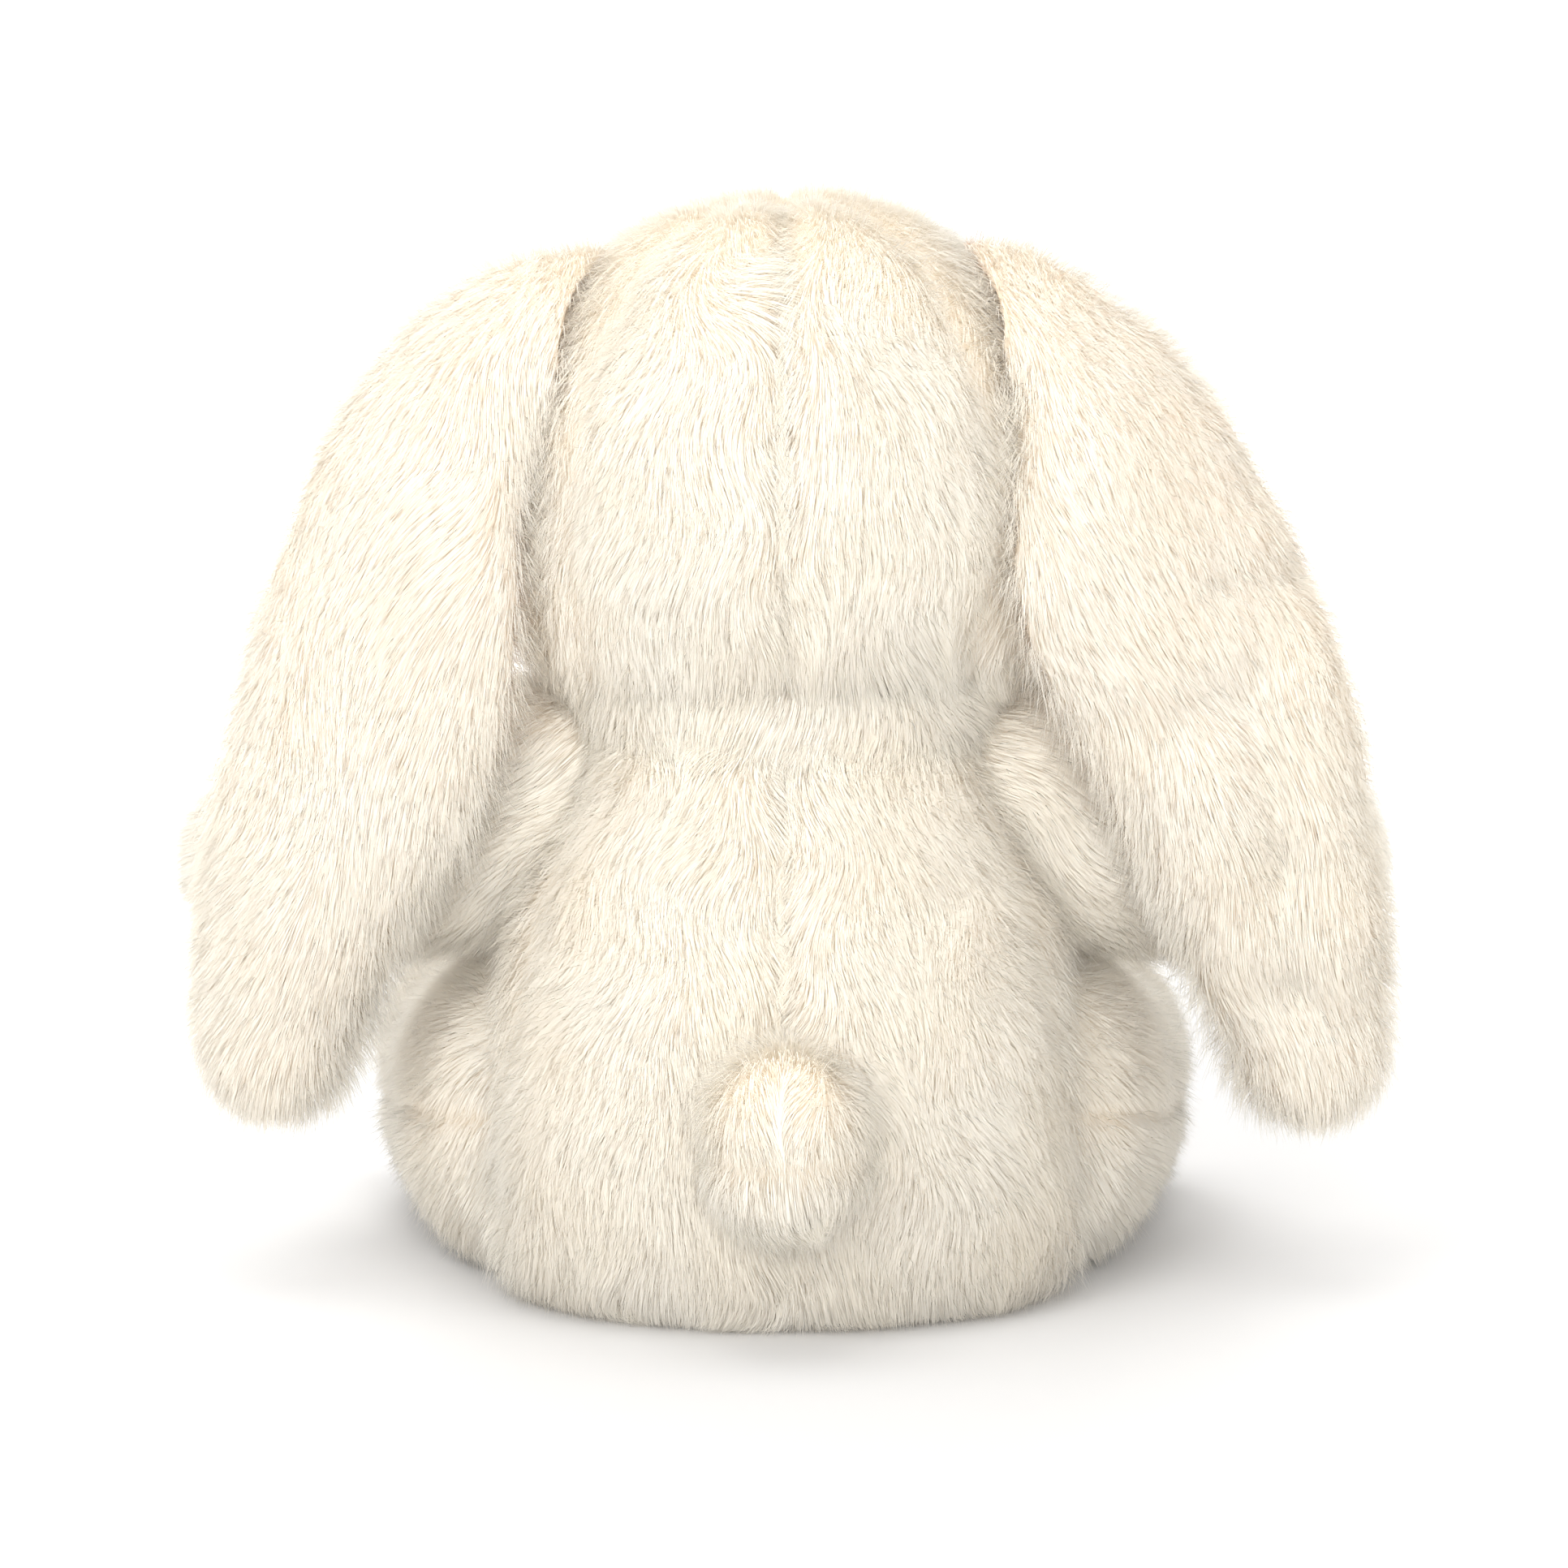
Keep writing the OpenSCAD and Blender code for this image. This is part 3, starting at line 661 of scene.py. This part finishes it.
def neck():
    """The gathered band of fur between the head and the torso, around the neck's nod joint."""
    around, up = 96, 16
    angles = np.linspace(0, 2 * math.pi, around, endpoint=False)
    low = radius_at(["torso_back_left", "torso_back_right", "belly"], NECK[2] - NECK_REACH, angles)
    head_panels = ["head_back_left", "head_back_right", "face_left", "face_right"]
    high = radius_at(head_panels, NECK[2] + NECK_REACH, angles)
    rows = []
    for k in range(up + 1):
        t = k / up
        ends = low * (1 - t) + high * t - 1.5 * MM
        waist = ends + 0.8 * MM * math.sin(math.pi * t)
        height = NECK[2] - NECK_REACH + 2 * NECK_REACH * t
        x, y = waist * np.sin(angles), waist * np.cos(angles)
        rows.append(np.stack([x, y, np.full(around, height)], axis=1))
    verts = np.concatenate(rows)
    first = np.arange(around)
    after = (first + 1) % around
    tris = np.concatenate([
        face for k in range(up) for face in (
            np.stack([k * around + first, (k + 1) * around + first, (k + 1) * around + after], axis=1),
            np.stack([k * around + first, (k + 1) * around + after, k * around + after], axis=1),
        )
    ])
    skin = reshaped(verts, tris)

    def look(points, out):
        return combed_down(points, out), np.full(len(points), 9 * MM), {}

    everywhere = np.full(len(tris), True)
    piece = pile_piece("neck_pile", skin, everywhere, None, FUR, "pile_fabric", [], 150, look)
    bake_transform(piece)


def arm(side):
    toward = np.array([SIDES[side], 0.0, -0.5])

    def comb(points, out):
        return toward + 0.3 * swirl(points, 22 * MM, 60)

    def full_shoulder(points, normals):
        high = smooth_step(points[:, 2], SHOULDER[2], SHOULDER[2] + 14 * MM)
        near = 1 - smooth_step(np.abs(points[:, 0]), SHOULDER[0] + 16 * MM, SHOULDER[0] + 38 * MM)
        return 3.5 * MM * high * near

    name = "arm_" + side
    sewn_body(name, [name + "_back", name + "_front"], [name + "_filling"], SKIN_MESH,
              300 + 10 * SIDES[side], comb, even(PILE), even(0.7 * MM), shape=full_shoulder)


def leg(side):
    toward = np.array([0.35 * SIDES[side], -0.35, -0.8])

    def comb(points, out):
        return toward + 0.3 * swirl(points, 22 * MM, 70)

    name = "leg_" + side
    sole = name + "_sole"
    sewn_body(name, [name + "_top", name + "_under", sole], [name + "_filling"], SKIN_MESH,
              400 + 10 * SIDES[side], comb, even(8.5 * MM), even(0.7 * MM))


# Where the back of the toy's right ear is pressed in or stands proud: ends in X and Z, depth and width
EAR_FOLDS = [
    ((-86, 148), (-101, 150), -1.1, 4.5), ((-80, 123), (-94, 131), -1.2, 5.5),
    ((-94, 121), (-100, 92), -1.8, 7.0), ((-100, 92), (-104, 68), -1.7, 7.0),
    ((-104, 68), (-111, 58), -1.2, 5.5),
    ((-106, 128), (-113, 78), 2.0, 9.0), ((-86, 105), (-92, 78), 1.2, 9.0),
]


def folded(verts, normals):
    """How far each point of the right ear's skin moves along its normal for its folds."""
    flat = verts * np.array([1, 0, 1])
    move = np.zeros(len(verts))
    for (x0, z0), (x1, z1), depth, width in EAR_FOLDS:
        away = segment_distance(flat, (x0 * MM, 0, z0 * MM), (x1 * MM, 0, z1 * MM))
        move += depth * MM * np.exp(-((away / (width * MM)) ** 2))
    return move * np.sign(normals[:, 1]) * smooth_step(np.abs(normals[:, 1]), 0.1, 0.5)


def ear(side):
    name = "ear_" + side
    back, lining = name + "_back", name + "_lining"
    hinge = np.array(JOINTS[name + "_lift"]["pos_m"])
    tip = np.array(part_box(back)[0 if side == "right" else 1])
    outward = unit(np.array([tip[0] - hinge[0], 0.0, -0.3 * abs(tip[0] - hinge[0])]))

    def comb(points, out):
        return DOWN + np.array([0.3 * SIDES[side], 0, 0]) + 0.3 * swirl(points, 24 * MM, 80)

    verts, normals, tris = wrapped_skin([back, lining], FINE_MESH, 5)
    from_root = (verts - hinge) @ outward
    move = lumps(verts, 0.8 * MM) - 0.8 * MM * (1 - smooth_step(from_root, 2 * MM, 16 * MM))
    if side == "right":
        move += folded(verts, normals)
    skin = reshaped(verts + normals * move[:, None], tris)
    which = nearest_panel(skin[0][skin[2]].mean(1), [back, lining])
    edge = seam_points(skin, which)

    def furry(points, out):
        from_root = (points - hinge) @ outward
        length = 8.5 * MM * (0.85 + 0.15 * smooth_step(from_root, 0, 14 * MM))
        inner = smooth_step(-SIDES[side] * out[:, 0], 0.1, 0.7)
        stand = (0.6 - 0.35 * inner, 1.3 - 0.5 * inner)
        return comb(points, out), length * (1 + 0.25 * inner), dict(stand=stand)

    def lined(points, out):
        away = distance_to(points, edge)
        return comb(points, out), 8 * MM - 6 * MM * smooth_step(away, 2 * MM, 8 * MM), {}

    seed = 500 + 10 * SIDES[side]
    for piece in (
        pile_piece(back + "_pile", skin, which == 0, None, FUR, "pile_fabric", [back], seed, furry),
        pile_piece(lining + "_pile", skin, which == 1, None, LINING, "lining", [lining], seed + 5, lined),
    ):
        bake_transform(piece)


def tail():
    low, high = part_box("tail_filling")
    middle = np.array(low + high) / 2

    def comb(points, out):
        around = unit((points - middle) * np.array([1, 0, 1]))
        return 0.3 * around + np.array([0, 0.35, -1.0]) + 0.5 * swirl(points, 15 * MM, 90)

    sewn_body("tail", ["tail_upper", "tail_lower"], ["tail_filling"], FINE_MESH, 600, comb,
              even(PILE), even(1.0 * MM))


def nose():
    """Satin stitch: threads laid side by side over a small pad."""
    verts, normals, tris = wrapped_skin(["nose"], 0.3 * MM, 3)
    thread = 0.85 * MM
    ridge = np.abs(np.sin(math.pi * verts[:, 0] / thread)) ** 0.7
    facing = smooth_step(-normals[:, 1], -0.2, 0.5)
    skin = reshaped(verts + normals * (0.28 * MM * facing * (ridge - 0.6))[:, None], tris)
    mesh = new_mesh("nose_satin", skin[0], [skin[2]])
    mesh.materials.append(NOSE)
    piece = add_object("nose_satin", mesh)
    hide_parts("nose")
    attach(piece, "head")


# ---------------------------------------------------------------- stage, camera, lights
def make_stage():
    size = 6.0
    corners = np.array([[-size, -size, 0], [size, -size, 0], [size, size, 0], [-size, size, 0]])
    floor = add_object("floor", new_mesh("floor", corners, [np.array([[0, 1, 2, 3]])]))
    material, tree, shader = node_material("paper")
    # Painted light: the floor is coloured darker near the toy and glows farther out, so that it looks
    # evenly white under the lamps while the toy's shadows still show.
    sphere = tree.nodes.new("ShaderNodeTexGradient")
    sphere.gradient_type = "SPHERICAL"
    tree.links.new(tree.nodes.new("ShaderNodeTexCoord").outputs["Object"], sphere.inputs["Vector"])
    near = sphere.outputs["Fac"]
    paper = ramp(tree, near, [(0.2, (0.93, 0.93, 0.93)), (0.8, (0.57, 0.565, 0.56))])
    tree.links.new(paper, shader.inputs["Base Color"])
    shader.inputs["Roughness"].default_value = 0.9
    # Painted light: the floor glows farther from the toy, where the lamps reach it less.
    glow = ramp(tree, near, [(0.2, (0.2, 0.2, 0.2)), (0.8, (0, 0, 0))])
    tree.links.new(glow, shader.inputs["Emission Color"])
    shader.inputs["Emission Strength"].default_value = 1.0
    floor.data.materials.append(material)
    world = bpy.data.worlds.new("studio")
    world.use_nodes = True
    world.node_tree.nodes["Background"].inputs["Color"].default_value = (1, 1, 1, 1)
    world.node_tree.nodes["Background"].inputs["Strength"].default_value = 1.07
    bpy.context.scene.world = world


def aim(obj, place, target):
    obj.location = place
    obj.rotation_euler = (Vector(target) - Vector(place)).to_track_quat("-Z", "Y").to_euler()


def add_light(name, place, target, size, power, colour=(1, 1, 1)):
    data = bpy.data.lights.new(name, "AREA")
    data.shape = "DISK"
    data.size = size
    data.energy = power
    data.color = colour
    obj = bpy.data.objects.new(name, data)
    bpy.context.scene.collection.objects.link(obj)
    aim(obj, place, target)


VIEW_WIDTH = 0.3217
VIEW_HEIGHT = 0.1037
ELEVATION = math.radians(9.5)
LENS = 150.0
SENSOR = 36.0


def make_camera():
    data = bpy.data.cameras.new("camera")
    data.lens = LENS
    data.sensor_width = SENSOR
    far = VIEW_WIDTH * LENS / SENSOR
    data.clip_end = 50
    obj = bpy.data.objects.new("camera", data)
    bpy.context.scene.collection.objects.link(obj)
    target = Vector((0, 0, VIEW_HEIGHT))
    aim(obj, target + far * Vector((0, math.cos(ELEVATION), math.sin(ELEVATION))), target)
    bpy.context.scene.camera = obj


make_camera()
make_stage()
add_light("key", (0.7, 1.3, 0.9), (0, 0, 0.1), 1.0, 16)
add_light("fill", (-0.1, 1.6, 0.5), (0, 0, 0.1), 0.6, 16)
add_light("top", (0.1, 0.2, 1.7), (0, 0, 0.1), 1.2, 9)
add_light("front", (0.5, -1.4, 0.8), (0, 0, 0.1), 1.0, 13)
add_light("front_fill", (-0.2, -1.6, 0.4), (0, 0, 0.1), 0.6, 8)
bpy.context.scene.view_settings.view_transform = "Standard"

head()
torso()
neck()
for each_side in SIDES:
    arm(each_side)
    leg(each_side)
    ear(each_side)
    finish_cad_node("eye_" + each_side, EYE)
    finish_cad_node("eye_washer_" + each_side, WASHER)
tail()
for filling in [n for n in frame["nodes"] if n.endswith("_filling")]:
    finish_cad_node(filling, FIBRE)
finish_cad_node("bean_pouch", POUCH)
finish_cad_node("pellets", PELLET)
nose()
finish_cad_node("mouth_stitches", MOUTH)
finish_cad_node("closing_stitches", SEAM)
